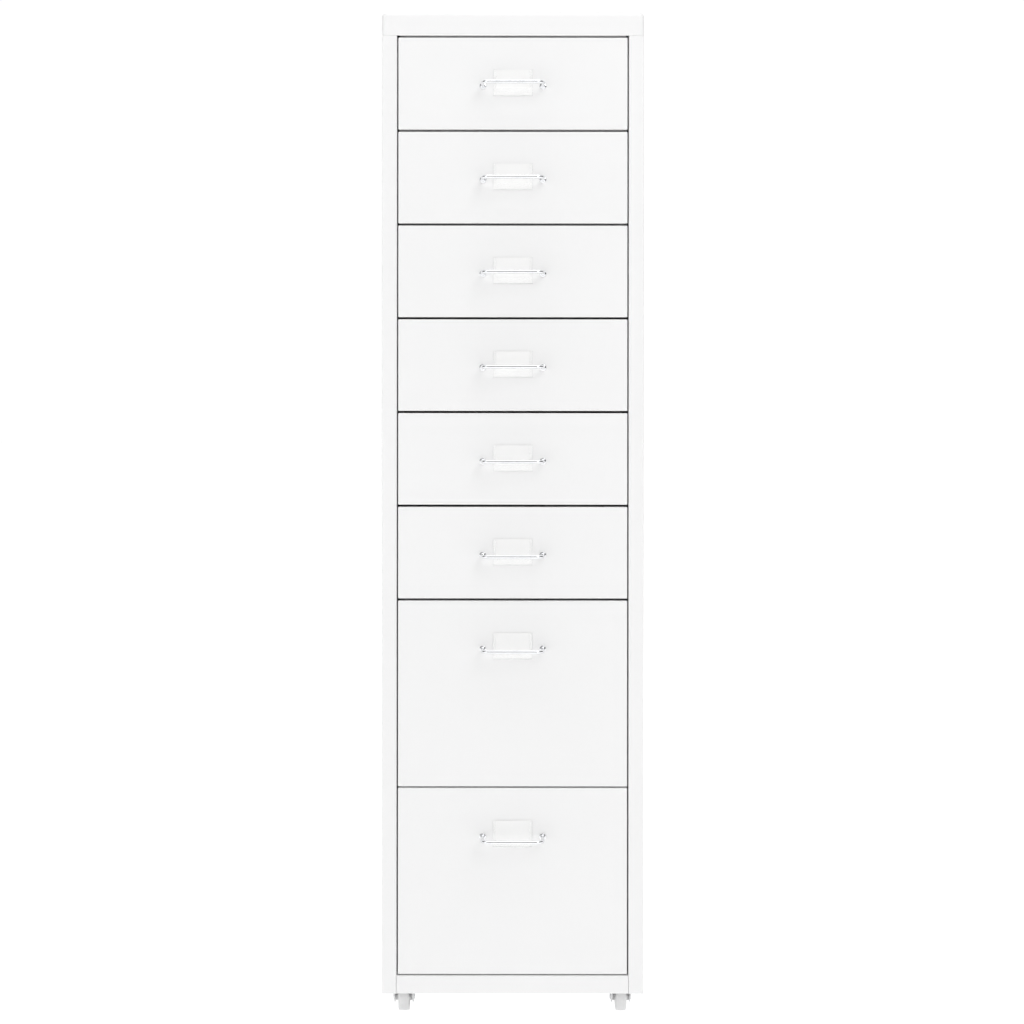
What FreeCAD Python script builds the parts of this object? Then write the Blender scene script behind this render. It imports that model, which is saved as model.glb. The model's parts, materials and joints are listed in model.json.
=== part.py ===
import FreeCAD, Part
import Sketcher
import math
import os
import re

# Mobile drawer cabinet: a slim welded-sheet carcass on four swivel casters, with six low
# drawers over two deep ones. Every drawer is a folded tray that hangs by its side flanges in
# channels on the side panels; a wire handle and a clear label holder sit on its front.
#
# Frame: origin on the floor under the middle of the cabinet's outline, +Z up, drawers open
# towards -Y, +X is the right-hand side seen from the front. Millimetres.

V = FreeCAD.Vector
os.makedirs("parts", exist_ok=True)
doc = FreeCAD.newDocument("DrawerCabinet")

# ------------------------------------------------------------------ driving dimensions
SIZES = [
    # overall
    ("overall_width", 280.0),
    ("overall_depth", 410.0),
    ("overall_height", 1090.0),
    ("caster_height", 43.0),
    # carcass
    ("body_half", 139.7),
    ("cap_half", 140.0),
    ("front_y", 177.0),
    ("back_y", 203.2),
    ("sheet_t", 0.8),
    ("bend_r", 1.6),
    ("opening_half", 123.6),
    ("return_depth", 25.0),
    ("flange_w", 12.0),
    ("rail_h", 19.4),
    ("cap_h", 25.4),
    ("cap_edge_r", 5.0),
    ("cap_corner_r", 6.0),
    ("fit_gap", 0.1),
    # drawers
    ("module_h", 100.0),
    ("front_gap", 2.4),
    ("edge_gap", 1.6),
    ("side_gap", 1.45),
    ("drawer_t", 0.7),
    ("pan_depth", 14.0),
    ("pan_lip", 14.0),
    ("pan_r", 0.9),
    ("tray_half", 112.0),
    ("tray_floor", 5.8),
    ("tray_drop", 15.2),
    ("tray_back", 181.0),
    ("hook_half", 121.5),
    ("hook_h", 6.0),
    ("travel", 290.0),
    # runners
    ("runner_in", 113.5),
    ("runner_start", 151.5),
    ("runner_end", 192.0),
    ("run_below", 0.4),
    ("run_above", 1.0),
    ("stop_h", 2.5),
    # handle and label holder
    ("handle_down", 52.65),
    ("foot_x", 32.0),
    ("wire_r", 2.0),
    ("bow_out", 26.0),
    ("bow_bend", 7.0),
    ("collar_r", 3.6),
    ("collar_t", 1.0),
    ("shank_r", 1.5),
    ("label_half", 21.0),
    ("label_up", 17.5),
    ("label_down", 10.5),
    ("peg_x", 14.0),
    ("peg_z", 5.0),
    ("peg_r", 1.4),
    # casters
    ("wheel_r", 16.0),
    ("wheel_half", 6.0),
    ("hub_half", 9.0),
    ("axle_r", 2.5),
    ("axle_gap", 0.06),
    ("caster_x", 120.0),
    ("caster_front_y", 114.0),
    ("caster_rear_y", 155.0),
    ("trail", 17.0),
    ("plate_half", 19.0),
    ("plate_t", 2.0),
    ("bolt_off", 14.0),
    ("bolt_hole_r", 2.25),
    ("bolt_r", 1.95),
    ("race_r", 10.8),
    ("ball_r", 1.5),
    ("kingpin_r", 4.0),
    ("leg_end_r", 7.0),
    ("leg_in", 9.3),
    ("leg_out", 10.8),
    ("fork_disc_r", 14.0),
    ("web_top", 35.5),
    ("web_under", 34.0),
    # screws
    ("screw_r", 1.95),
    ("screw_head_r", 3.7),
    ("screw_head_t", 1.8),
    ("screw_len", 9.0),
    ("screw_hole_r", 2.1),
]
NAMES = {n for n, _ in SIZES}
sheet = doc.addObject("Spreadsheet::Sheet", "Dims")
for row, (alias, value) in enumerate(SIZES, 1):
    sheet.set("A%d" % row, alias)
    sheet.set("B%d" % row, str(value))
    sheet.setAlias("B%d" % row, alias)
doc.recompute()


def bound(expr):
    """Text of an expression with every size name pointed at the sheet."""
    return re.sub(r"[a-z][a-z_]*", lambda m: "Dims." + m.group(0) if m.group(0) in NAMES else m.group(0), str(expr))


def num(expr):
    return float(sheet.evalExpression(bound(expr)))


# ------------------------------------------------------------------ modelling helpers

def body(label):
    b = doc.addObject("PartDesign::Body", label)
    b.Label = label
    return b


def sketch(b, role, at, polys=(), circles=()):
    """A sketch on one of the body's origin planes, moved to the coordinate 'at'.
    XY: (x, y); XZ: (x, z); YZ: (y, z). Every corner and radius is bound to the sheet."""
    s = b.newObject("Sketcher::SketchObject", b.Label + "_sk")
    s.AttachmentSupport = [([o for o in b.Origin.OriginFeatures if o.Role == role][0], "")]
    s.MapMode = "FlatFace"
    s.setExpression("AttachmentOffset.Base.z", bound(("-(%s)" if role == "XZ_Plane" else "%s") % at))

    def pin(geo, pos, e):
        for kind, text, line in (("DistanceX", e[0], -2), ("DistanceY", e[1], -1)):
            value = num(text)
            if abs(value) < 1e-9:
                s.addConstraint(Sketcher.Constraint("PointOnObject", geo, pos, line))
            elif value > 0:
                c = s.addConstraint(Sketcher.Constraint(kind, -1, 1, geo, pos, value))
                s.setExpression("Constraints[%d]" % c, bound(text))
            else:
                c = s.addConstraint(Sketcher.Constraint(kind, geo, pos, -1, 1, -value))
                s.setExpression("Constraints[%d]" % c, bound("-(%s)" % text))

    first = 0
    for poly in polys:
        pts = [V(num(x), num(y), 0) for x, y in poly]
        n = len(pts)
        s.addGeometry([Part.LineSegment(pts[i], pts[(i + 1) % n]) for i in range(n)], False)
        for i in range(n):
            s.addConstraint(Sketcher.Constraint("Coincident", first + i, 2, first + (i + 1) % n, 1))
        for i, e in enumerate(poly):
            pin(first + i, 1, e)
        first += n
    for cx, cy, r in circles:
        s.addGeometry([Part.Circle(V(num(cx), num(cy), 0), V(0, 0, 1), num(r))], False)
        pin(first, 3, (cx, cy))
        c = s.addConstraint(Sketcher.Constraint("Radius", first, num(r)))
        s.setExpression("Constraints[%d]" % c, bound(r))
        first += 1
    return s


def pad(b, role, at, length, way=1, polys=(), circles=()):
    s = sketch(b, role, at, polys, circles)
    before = b.Tip.Shape.Volume if b.Tip is not None else 0.0
    f = b.newObject("PartDesign::Pad", b.Label + "_pad")
    f.Profile = s
    f.setExpression("Length", bound(length))
    f.Reversed = (way > 0) if role == "XZ_Plane" else (way < 0)
    doc.recompute([s, f])
    if not f.Shape.Volume > before:
        raise RuntimeError("pad added nothing: " + f.Name)
    return f


def pocket(b, role, at, length, way=1, polys=(), circles=()):
    s = sketch(b, role, at, polys, circles)
    before = b.Tip.Shape.Volume
    f = b.newObject("PartDesign::Pocket", b.Label + "_pocket")
    f.Profile = s
    f.setExpression("Length", bound(length))
    f.Reversed = (way < 0) if role == "XZ_Plane" else (way > 0)
    doc.recompute([s, f])
    if not f.Shape.Volume < before - 1e-6:
        raise RuntimeError("pocket cut nothing: " + f.Name)
    return f


def turn(b, polys):
    """Revolve a profile drawn as (x, radius) about the X axis."""
    s = sketch(b, "XZ_Plane", "0", polys)
    f = b.newObject("PartDesign::Revolution", b.Label + "_turn")
    f.Profile = s
    f.ReferenceAxis = (s, ["H_Axis"])
    f.Angle = 360.0
    doc.recompute()
    return f


def fillet(b, radius, test):
    """Round every edge for which test(midpoint, tangent, length) holds."""
    shape = b.Tip.Shape
    names = []
    for i, e in enumerate(shape.Edges, 1):
        mid = e.valueAt((e.FirstParameter + e.LastParameter) / 2.0)
        tan = e.tangentAt((e.FirstParameter + e.LastParameter) / 2.0)
        if test(mid, tan, e.Length):
            names.append("Edge%d" % i)
    if not names:
        raise RuntimeError("no edge found to round on " + b.Label)
    base = b.Tip
    f = b.newObject("PartDesign::Fillet", b.Label + "_fillet")
    f.Base = (base, names)
    f.setExpression("Radius", bound(radius))
    doc.recompute([f])
    if "Invalid" in f.State or "Error" in f.State or f.Shape.isNull() or not f.Shape.isValid():
        raise RuntimeError("fillet failed on " + b.Label)
    return f


def near(a, c, tol=0.02):
    return abs(a - c) < tol


def along(tan, axis):
    return abs(abs((tan.x, tan.y, tan.z)[axis]) - 1.0) < 1e-3


def place(obj, x="0", y="0", z="0", rot=None):
    if rot is not None:
        obj.Placement = FreeCAD.Placement(V(0, 0, 0), rot)
    for k, e in zip("xyz", (x, y, z)):
        obj.setExpression("Placement.Base." + k, bound(e))


def rect(x0, y0, x1, y1):
    return [(x0, y0), (x1, y0), (x1, y1), (x0, y1)]


NODES = []          # the sub-parts that are written, in order


def keep(obj):
    NODES.append(obj)
    return obj


def group(label, master, spots):
    """Identical pieces: one linked copy of the master at each spot, in one compound."""
    links = []
    for i, (x, y, z, rot) in enumerate(spots, 1):
        link = doc.addObject("App::Link", "%s_copy_%d" % (label, i))
        link.LinkedObject = master
        place(link, x, y, z, rot or FreeCAD.Rotation())
        links.append(link)
    c = doc.addObject("Part::Compound", label)
    c.Label = label
    c.Links = links
    doc.recompute()
    return keep(c)


# Seam m is m modules above the first one, which is on top of the bottom rail.
SEAM0 = "caster_height + rail_h + edge_gap / 2"
CAP_Z = "(overall_height - cap_h)"
# Drawer 1 is the top one. (number, module where its lower seam is, modules tall)
DRAWERS = [(1, 9, 1), (2, 8, 1), (3, 7, 1), (4, 6, 1), (5, 5, 1), (6, 4, 1), (7, 2, 2), (8, 0, 2)]
CASTERS = [
    ("front_left", "-caster_x", "-caster_front_y"),
    ("front_right", "caster_x", "-caster_front_y"),
    ("rear_left", "-caster_x", "caster_rear_y"),
    ("rear_right", "caster_x", "caster_rear_y"),
]
REAR_SCREW_Z = ["90", "330", "570", "810", "1040"]
SIDE_SCREW_X = "(body_half - sheet_t - flange_w / 2)"
REAR_SCREW_X = "(opening_half + body_half) / 2"
BASE_SCREW_Y = ["-85", "12", "110"]
TOP_SCREW_Y = ["-136", "12", "175"]


def seam(m):
    return SEAM0 + " + %d * module_h" % m


def gap(m):
    """The open gap at seam m: the deep fronts and the top one are fitted closer."""
    return "edge_gap" if m in (0, 2, 10) else "front_gap"


# ------------------------------------------------------------------ side panels
def side_panel(label, s):
    """C-folded sheet: front flange with a return, outer wall, rear flange; a flange is turned
    in at the top and one at the bottom. s is +1 for the right side, -1 for the left."""
    b = body(label)

    def sx(e):
        return "(%d) * (%s)" % (s, e)

    prof = [
        (sx("opening_half"), "-front_y + return_depth"),
        (sx("opening_half"), "-front_y"),
        (sx("body_half"), "-front_y"),
        (sx("body_half"), "back_y"),
        (sx("opening_half"), "back_y"),
        (sx("opening_half"), "back_y - sheet_t"),
        (sx("body_half - sheet_t"), "back_y - sheet_t"),
        (sx("body_half - sheet_t"), "-front_y + sheet_t"),
        (sx("opening_half + sheet_t"), "-front_y + sheet_t"),
        (sx("opening_half + sheet_t"), "-front_y + return_depth"),
    ]
    pad(b, "XY_Plane", "caster_height", CAP_Z + " - caster_height", 1, [prof])
    inner_x = num("body_half - sheet_t")
    fy, by, t, oh = num("front_y"), num("back_y"), num("sheet_t"), num("opening_half")
    # inside of the folds, then the outside
    fillet(b, "bend_r - sheet_t", lambda m, d, L: along(d, 2) and (
        (near(abs(m.x), inner_x) and (near(m.y, -fy + t) or near(m.y, by - t)))
        or (near(abs(m.x), oh + t) and near(m.y, -fy + t))))
    fillet(b, "bend_r", lambda m, d, L: along(d, 2) and (
        (near(abs(m.x), num("body_half")) and (near(m.y, -fy) or near(m.y, by)))
        or (near(abs(m.x), oh) and near(m.y, -fy))))
    # the return and the folds stop short of the floor sheet, only the front flange runs down
    pocket(b, "XY_Plane", "caster_height - 1", "1 + 2 * sheet_t", 1, [rect(
        sx("opening_half - 1"), "-front_y + sheet_t + 0.02",
        sx("body_half - sheet_t - 1"), "-front_y + return_depth + 1")])
    # flange turned in at the bottom (lies on the floor sheet) and at the top (under the cap)
    flange = rect(sx("body_half - sheet_t - flange_w"), "-front_y + return_depth + 2",
                  sx("body_half - sheet_t / 2"), "back_y - 6")
    pad(b, "XY_Plane", "caster_height + sheet_t", "sheet_t", 1, [flange])
    flange_top = rect(sx("body_half - sheet_t - flange_w"), "-front_y + return_depth + 2",
                      sx("body_half - sheet_t / 2"), "back_y - 6")
    pad(b, "XY_Plane", CAP_Z, "sheet_t", -1, [flange_top])
    # rolled top edge of the wall, which makes the fine groove under the cap
    fillet(b, "0.6", lambda m, d, L: along(d, 1) and near(abs(m.x), num("body_half"))
           and near(m.z, num(CAP_Z)))
    # screw holes
    pocket(b, "XZ_Plane", "back_y + 1", "4", -1, circles=[
        (sx(REAR_SCREW_X), z, "screw_hole_r") for z in REAR_SCREW_Z])
    pocket(b, "XY_Plane", CAP_Z + " + 1", "4", -1, circles=[
        (sx(SIDE_SCREW_X), y, "screw_hole_r") for y in TOP_SCREW_Y])
    holes = [(sx(SIDE_SCREW_X), y, "screw_hole_r") for y in BASE_SCREW_Y]
    # caster bolts clamp this flange too
    for cy in ("-caster_front_y", "caster_rear_y"):
        for d in ("-", "+"):
            holes.append((sx("caster_x + bolt_off"), "%s %s bolt_off" % (cy, d), "bolt_hole_r"))
    pocket(b, "XY_Plane", "caster_height - 1", "4", 1, circles=holes)
    place(b)
    return keep(b)


side_panel("side_panel_left", -1)
side_panel("side_panel_right", 1)


# ------------------------------------------------------------------ top panel (cap)
def top_panel():
    b = body("top_panel")
    pad(b, "XY_Plane", "0", "cap_h", 1, [rect("-cap_half", "-front_y", "cap_half", "back_y")])
    fillet(b, "cap_corner_r", lambda m, d, L: along(d, 2))
    fillet(b, "cap_edge_r", lambda m, d, L: near(m.z, num("cap_h")))
    face = [i for i, f in enumerate(b.Tip.Shape.Faces, 1)
            if near(f.CenterOfMass.z, 0) and abs(f.normalAt(0, 0).z) > 0.99]
    base = b.Tip
    sh = b.newObject("PartDesign::Thickness", "top_panel_shell")
    sh.Base = (base, ["Face%d" % face[0]])
    sh.setExpression("Value", bound("sheet_t"))
    sh.Mode = 0
    sh.Join = 0
    sh.Reversed = True
    doc.recompute()
    # flanges turned in along the four lower edges, stopped short of the corners
    lo_x, hi_x = "cap_half - sheet_t - flange_w", "cap_half - sheet_t / 2"
    strips = [
        rect("-(%s)" % hi_x, "-front_y + 12", "-(%s)" % lo_x, "back_y - 12"),
        rect(lo_x, "-front_y + 12", hi_x, "back_y - 12"),
        rect("-opening_half + 3", "-front_y + sheet_t / 2", "opening_half - 3", "-front_y + sheet_t + flange_w"),
        rect("-opening_half + 3", "back_y - sheet_t - flange_w", "opening_half - 3", "back_y - sheet_t / 2"),
    ]
    pad(b, "XY_Plane", "0", "sheet_t", 1, strips)
    fillet(b, "0.6", lambda m, d, L: near(m.z, 0) and L > 40 and (
        (along(d, 1) and near(abs(m.x), num("cap_half")))
        or (along(d, 0) and (near(m.y, -num("front_y")) or near(m.y, num("back_y"))))))
    holes = []
    for s in (-1, 1):
        holes += [("(%d) * %s" % (s, SIDE_SCREW_X), y, "screw_hole_r") for y in TOP_SCREW_Y]
    pocket(b, "XY_Plane", "-1", "4", 1, circles=holes)
    place(b, z=CAP_Z)
    return keep(b)


top_panel()


# ------------------------------------------------------------------ bottom panel with the front rail
def bottom_panel():
    b = body("bottom_panel")
    pad(b, "XY_Plane", "caster_height", "sheet_t", 1, [rect(
        "-(body_half - sheet_t - fit_gap)", "-front_y + 1.7 * sheet_t", "body_half - sheet_t - fit_gap", "back_y - 2 * sheet_t")])
    # front rail: up, back and down again (one folded edge)
    rail = [
        ("-front_y", "caster_height"),
        ("-front_y + sheet_t * 2", "caster_height"),
        ("-front_y + sheet_t * 2", "caster_height + sheet_t"),
        ("-front_y + sheet_t", "caster_height + sheet_t"),
        ("-front_y + sheet_t", "caster_height + rail_h - sheet_t"),
        ("-front_y + 14.2", "caster_height + rail_h - sheet_t"),
        ("-front_y + 14.2", "caster_height + rail_h - 7"),
        ("-front_y + 15", "caster_height + rail_h - 7"),
        ("-front_y + 15", "caster_height + rail_h"),
        ("-front_y", "caster_height + rail_h"),
    ]
    w = "(opening_half - fit_gap)"
    pad(b, "YZ_Plane", "-" + w, "2 * " + w, 1, [rail])
    # rear upstand
    pad(b, "XZ_Plane", "back_y - 2 * sheet_t", "sheet_t", -1, [rect(
        "-(body_half - sheet_t - 3)", "caster_height", "body_half - sheet_t - 3", "caster_height + 18")])
    fy, t, z0 = num("front_y"), num("sheet_t"), num("caster_height")
    zr = num("caster_height + rail_h")
    fillet(b, "bend_r - sheet_t", lambda m, d, L: along(d, 0) and near(m.z, zr - t) and (
        near(m.y, -fy + t) or near(m.y, -fy + 14.2)))
    fillet(b, "bend_r - sheet_t", lambda m, d, L: along(d, 0) and near(m.z, z0 + t) and near(m.y, num("back_y") - 3 * t))
    fillet(b, "bend_r", lambda m, d, L: along(d, 0) and L > 200 and (
        (near(m.y, -fy) and near(m.z, z0)) or (near(m.y, -fy) and near(m.z, zr))
        or (near(m.y, -fy + 15) and near(m.z, zr))))
    holes = []
    for s in (-1, 1):
        holes += [("(%d) * %s" % (s, SIDE_SCREW_X), y, "screw_hole_r") for y in BASE_SCREW_Y]
        for cy in ("-caster_front_y", "caster_rear_y"):
            for i in ("-", "+"):
                for j in ("-", "+"):
                    holes.append(("(%d) * (caster_x %s bolt_off)" % (s, i), "%s %s bolt_off" % (cy, j), "bolt_hole_r"))
    pocket(b, "XY_Plane", "caster_height - 1", "3", 1, circles=holes)
    place(b)
    return keep(b)


bottom_panel()


# ------------------------------------------------------------------ back panel
def back_panel():
    b = body("back_panel")
    pad(b, "XZ_Plane", "back_y - sheet_t", "sheet_t", -1, [rect(
        "-(body_half - sheet_t - fit_gap)", "caster_height", "body_half - sheet_t - fit_gap", CAP_Z + " - fit_gap")])
    holes = []
    for s in (-1, 1):
        holes += [("(%d) * (%s)" % (s, REAR_SCREW_X), z, "screw_hole_r") for z in REAR_SCREW_Z]
    pocket(b, "XZ_Plane", "back_y + 1", "4", -1, circles=holes)
    # the panel's corners clear the inside of the folds and the turned-in flanges
    for s in (-1, 1):
        pocket(b, "XZ_Plane", "back_y + 1", "4", -1, [rect(
            "(%d) * (body_half - sheet_t - 1.2)" % s, "caster_height - 1",
            "(%d) * (body_half + 1)" % s, CAP_Z + " + 1")])
    place(b)
    return keep(b)


back_panel()


# ------------------------------------------------------------------ drawer runners
def runner(label, s):
    """One C channel. Local z = 0 is the top of the drawer tray's hanging flange."""
    b = body(label)

    def sx(e):
        return "(%d) * (%s)" % (s, e)

    web = "body_half - sheet_t"
    top, low = "run_above", "-(hook_h + run_below)"
    c = [
        (sx(web), low + " - sheet_t"),
        (sx(web), top + " + sheet_t"),
        (sx("runner_in"), top + " + sheet_t"),
        (sx("runner_in"), top),
        (sx(web + " - sheet_t"), top),
        (sx(web + " - sheet_t"), low),
        (sx("runner_in"), low),
        (sx("runner_in"), low + " - sheet_t"),
    ]
    pad(b, "XZ_Plane", "-runner_start", "runner_start + runner_end", 1, [c])
    # stops folded up from the lower leg: one ends the travel, one the closing
    pad(b, "XZ_Plane", "tray_back - drawer_t - travel - 0.3", "sheet_t", -1, [rect(
        sx("runner_in + 0.5"), low + " - sheet_t / 2", sx("runner_in + 4.5"), low + " + stop_h")])
    pad(b, "XZ_Plane", "tray_back + 0.3", "sheet_t", 1, [rect(
        sx("runner_in + 0.5"), low + " - sheet_t / 2", sx("runner_in + 4.5"), low + " + stop_h")])
    fillet(b, "0.6", lambda m, d, L: along(d, 1) and L > 100 and near(abs(m.x), num(web)))
    return b


for label, s in (("drawer_runners_left", -1), ("drawer_runners_right", 1)):
    master = runner(label + "_master", s)
    group(label, master, [
        ("0", "0", seam(m + k) + " - tray_drop", None) for _, m, k in DRAWERS])


# ------------------------------------------------------------------ drawers
def drawer_front(label, m, k):
    """Box-folded pan: outer sheet, four sides and a narrow lip turned in at the back."""
    b = body(label)
    fh = "(%d * module_h - %s / 2 - %s / 2)" % (k, gap(m), gap(m + k))
    fw = "(opening_half - side_gap)"
    pad(b, "XZ_Plane", "-front_y", "pan_depth", 1, [rect("-" + fw, "0", fw, fh)])
    wn, hn, yn = num(fw), num(fh), -num("front_y")
    fillet(b, "pan_r", lambda m, d, L: near(m.y, yn) or along(d, 1))
    pocket(b, "XZ_Plane", "-front_y + drawer_t", "pan_depth - 2 * drawer_t", 1, [rect(
        "-%s + drawer_t" % fw, "drawer_t", fw + " - drawer_t", fh + " - drawer_t")])
    pocket(b, "XZ_Plane", "-front_y + pan_depth - drawer_t - 0.5", "drawer_t + 1", 1, [rect(
        "-%s + pan_lip" % fw, "pan_lip", fw + " - pan_lip", fh + " - pan_lip")])
    hz = "(%s + %s / 2 - handle_down)" % (fh, gap(m + k))
    pocket(b, "XZ_Plane", "-front_y - 1", "2 + drawer_t", 1, circles=[
        ("-foot_x", hz, "shank_r + 0.1"), ("foot_x", hz, "shank_r + 0.1"),
        ("-peg_x", hz + " + peg_z", "peg_r + 0.1"), ("peg_x", hz + " + peg_z", "peg_r + 0.1")])
    place(b, z=seam(m) + " + %s / 2" % gap(m))
    return keep(b)


def drawer_tray(label, m, k):
    """Folded tray: floor, two walls with a hooked flange to hang from, front and rear walls.
    Local z = 0 is the seam under the drawer."""
    b = body(label)
    zf = "(%d * module_h - tray_drop)" % k
    t, a, h, lo = "drawer_t", "tray_half", "hook_half", "tray_floor"
    u = [
        ("-" + h, zf + " - hook_h"), ("-" + h, zf), ("-(%s - %s)" % (a, t), zf), ("-(%s - %s)" % (a, t), lo + " + " + t),
        ("%s - %s" % (a, t), lo + " + " + t), ("%s - %s" % (a, t), zf), (h, zf), (h, zf + " - hook_h"),
        ("%s - %s" % (h, t), zf + " - hook_h"), ("%s - %s" % (h, t), zf + " - " + t), (a, zf + " - " + t), (a, lo),
        ("-" + a, lo), ("-" + a, zf + " - " + t), ("-(%s - %s)" % (h, t), zf + " - " + t), ("-(%s - %s)" % (h, t), zf + " - hook_h"),
    ]
    y0 = "-front_y + pan_depth"
    pad(b, "XZ_Plane", y0, "front_y - pan_depth + tray_back", 1, [u])
    zfn, hn, an, tn, lon = num(zf), num(h), num(a), num(t), num(lo)
    fillet(b, "1.6", lambda m, d, L: along(d, 1) and near(abs(m.x), an - tn) and near(m.z, lon + tn))
    fillet(b, "2.3", lambda m, d, L: along(d, 1) and near(abs(m.x), an) and near(m.z, lon))
    fillet(b, "1.2", lambda m, d, L: along(d, 1) and near(m.z, zfn) and (near(abs(m.x), hn) or near(abs(m.x), an - tn)))
    # front and rear walls, each with a rolled top edge
    wall = rect("-(%s - %s / 2)" % (a, t), lo + " + " + t + " / 2", "%s - %s / 2" % (a, t), zf + " - 3")
    for at, way in ((y0, 1), ("tray_back", -1)):
        pad(b, "XZ_Plane", at, t, way, [wall])
        pad(b, "XZ_Plane", at, "2 * " + t, way, [rect(
            "-(%s - %s / 2)" % (a, t), zf + " - 10", "%s - %s / 2" % (a, t), zf + " - 3")])
    # the hooked flange starts behind the front pan
    for s in (-1, 1):
        pocket(b, "XZ_Plane", y0 + " - 1", "6", 1, [rect(
            "(%d) * (tray_half + 0.02)" % s, zf + " - hook_h - 1", "(%d) * (hook_half + 1)" % s, zf + " + 1")])
        # stop tab folded down from the rear end of the flange
        pad(b, "XZ_Plane", "tray_back", t, -1, [rect(
            "(%d) * (runner_in + 0.7)" % s, zf + " - hook_h + 0.2", "(%d) * (runner_in + 5.2)" % s, zf + " - %s / 2" % t)])
    place(b, z=seam(m))
    return keep(b)


def drawer_handle(label, m, k):
    """Bent wire bow with a formed collar, a riveted shank and its head at each foot."""
    b = body(label)
    sp = b.newObject("Sketcher::SketchObject", label + "_path")
    sp.AttachmentSupport = [([o for o in b.Origin.OriginFeatures if o.Role == "XY_Plane"][0], "")]
    sp.MapMode = "FlatFace"
    f, p, r, y0 = num("foot_x"), num("bow_out"), num("bow_bend"), -0.5
    sp.addGeometry([
        Part.LineSegment(V(-f, y0, 0), V(-f, -(p - r), 0)),
        Part.ArcOfCircle(Part.Circle(V(-f + r, -(p - r), 0), V(0, 0, 1), r), math.pi, 1.5 * math.pi),
        Part.LineSegment(V(-f + r, -p, 0), V(f - r, -p, 0)),
        Part.ArcOfCircle(Part.Circle(V(f - r, -(p - r), 0), V(0, 0, 1), r), 1.5 * math.pi, 2 * math.pi),
        Part.LineSegment(V(f, -(p - r), 0), V(f, y0, 0)),
    ], False)
    C = Sketcher.Constraint
    for a, pa, c, pc in ((0, 2, 1, 1), (1, 2, 2, 1), (2, 2, 3, 1), (3, 2, 4, 1)):
        sp.addConstraint(C("Tangent", a, pa, c, pc))
    for leg in (0, 4):
        sp.addConstraint(C("Vertical", leg))
    sp.addConstraint(C("Horizontal", 2))
    i = sp.addConstraint(C("Radius", 1, r))
    sp.setExpression("Constraints[%d]" % i, bound("bow_bend"))
    sp.addConstraint(C("Equal", 1, 3))
    i = sp.addConstraint(C("DistanceX", 0, 1, -1, 1, f))
    sp.setExpression("Constraints[%d]" % i, bound("foot_x"))
    i = sp.addConstraint(C("DistanceX", -1, 1, 4, 2, f))
    sp.setExpression("Constraints[%d]" % i, bound("foot_x"))
    sp.addConstraint(C("DistanceY", 0, 1, -1, 1, 0.5))
    sp.addConstraint(C("DistanceY", 4, 2, -1, 1, 0.5))
    i = sp.addConstraint(C("DistanceY", 2, 1, -1, 1, p))
    sp.setExpression("Constraints[%d]" % i, bound("bow_out"))
    pr = sketch(b, "XZ_Plane", "-0.5", circles=[("-foot_x", "0", "wire_r")])
    pipe = b.newObject("PartDesign::AdditivePipe", label + "_wire")
    pipe.Profile = pr
    pipe.Spine = (sp, [])
    doc.recompute()
    pad(b, "XZ_Plane", "0", "collar_t", -1, circles=[("-foot_x", "0", "collar_r"), ("foot_x", "0", "collar_r")])
    fillet(b, "0.45", lambda m, d, L: near(m.y, -num("collar_t")) and abs(L - 2 * math.pi * num("collar_r")) < 0.2)
    pad(b, "XZ_Plane", "-0.2", "drawer_t + 0.4", 1, circles=[("-foot_x", "0", "shank_r"), ("foot_x", "0", "shank_r")])
    pad(b, "XZ_Plane", "drawer_t + 0.05", "1.2", 1, circles=[("-foot_x", "0", "2.6"), ("foot_x", "0", "2.6")])
    place(b, y="-front_y", z=seam(m + k) + " - handle_down")
    return keep(b)


def label_holder(label, m, k):
    """Clear moulded holder: back plate, a channel down each side, and a gutter-shaped lower lip
    that the card stands in. Two pegs hold it to the drawer front."""
    b = body(label)
    w = "label_half"
    pad(b, "XZ_Plane", "0", "1.0", -1, [rect("-" + w, "-label_down", w, "label_up")])
    for s in (-1, 1):
        pad(b, "XZ_Plane", "-0.5", "2.5", -1, [rect("(%d) * (%s - 0.9)" % (s, w), "-label_down", "(%d) * (%s)" % (s, w), "label_up")])
        pad(b, "XZ_Plane", "-2.2", "0.8", -1, [rect("(%d) * (%s - 3.6)" % (s, w), "-3", "(%d) * (%s)" % (s, w), "label_up")])
    lip = [
        ("-0.5", "-label_down"), ("-6", "-label_down"), ("-6", "-label_down + 7.2"), ("-5", "-label_down + 7.2"),
        ("-5", "-label_down + 1"), ("-0.5", "-label_down + 1")]
    pad(b, "YZ_Plane", "-" + w, "2 * " + w, 1, [lip])
    fillet(b, "2.6", lambda m, d, L: along(d, 0) and near(m.y, -5) and near(m.z, -num("label_down") + 1))
    fillet(b, "3.6", lambda m, d, L: along(d, 0) and near(m.y, -6) and near(m.z, -num("label_down")))
    fillet(b, "0.4", lambda m, d, L: along(d, 0) and L > 10 and near(m.z, -num("label_down") + 7.2))
    pad(b, "XZ_Plane", "-0.2", "drawer_t + 0.4", 1, circles=[("-peg_x", "peg_z", "peg_r"), ("peg_x", "peg_z", "peg_r")])
    pad(b, "XZ_Plane", "drawer_t + 0.05", "0.9", 1, circles=[("-peg_x", "peg_z", "2.2"), ("peg_x", "peg_z", "2.2")])
    place(b, y="-front_y", z=seam(m + k) + " - handle_down")
    return keep(b)


for n, m, k in DRAWERS:
    drawer_tray("drawer_%d_tray" % n, m, k)
    drawer_front("drawer_%d_front" % n, m, k)
    drawer_handle("drawer_%d_handle" % n, m, k)
    label_holder("drawer_%d_label_holder" % n, m, k)


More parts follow.
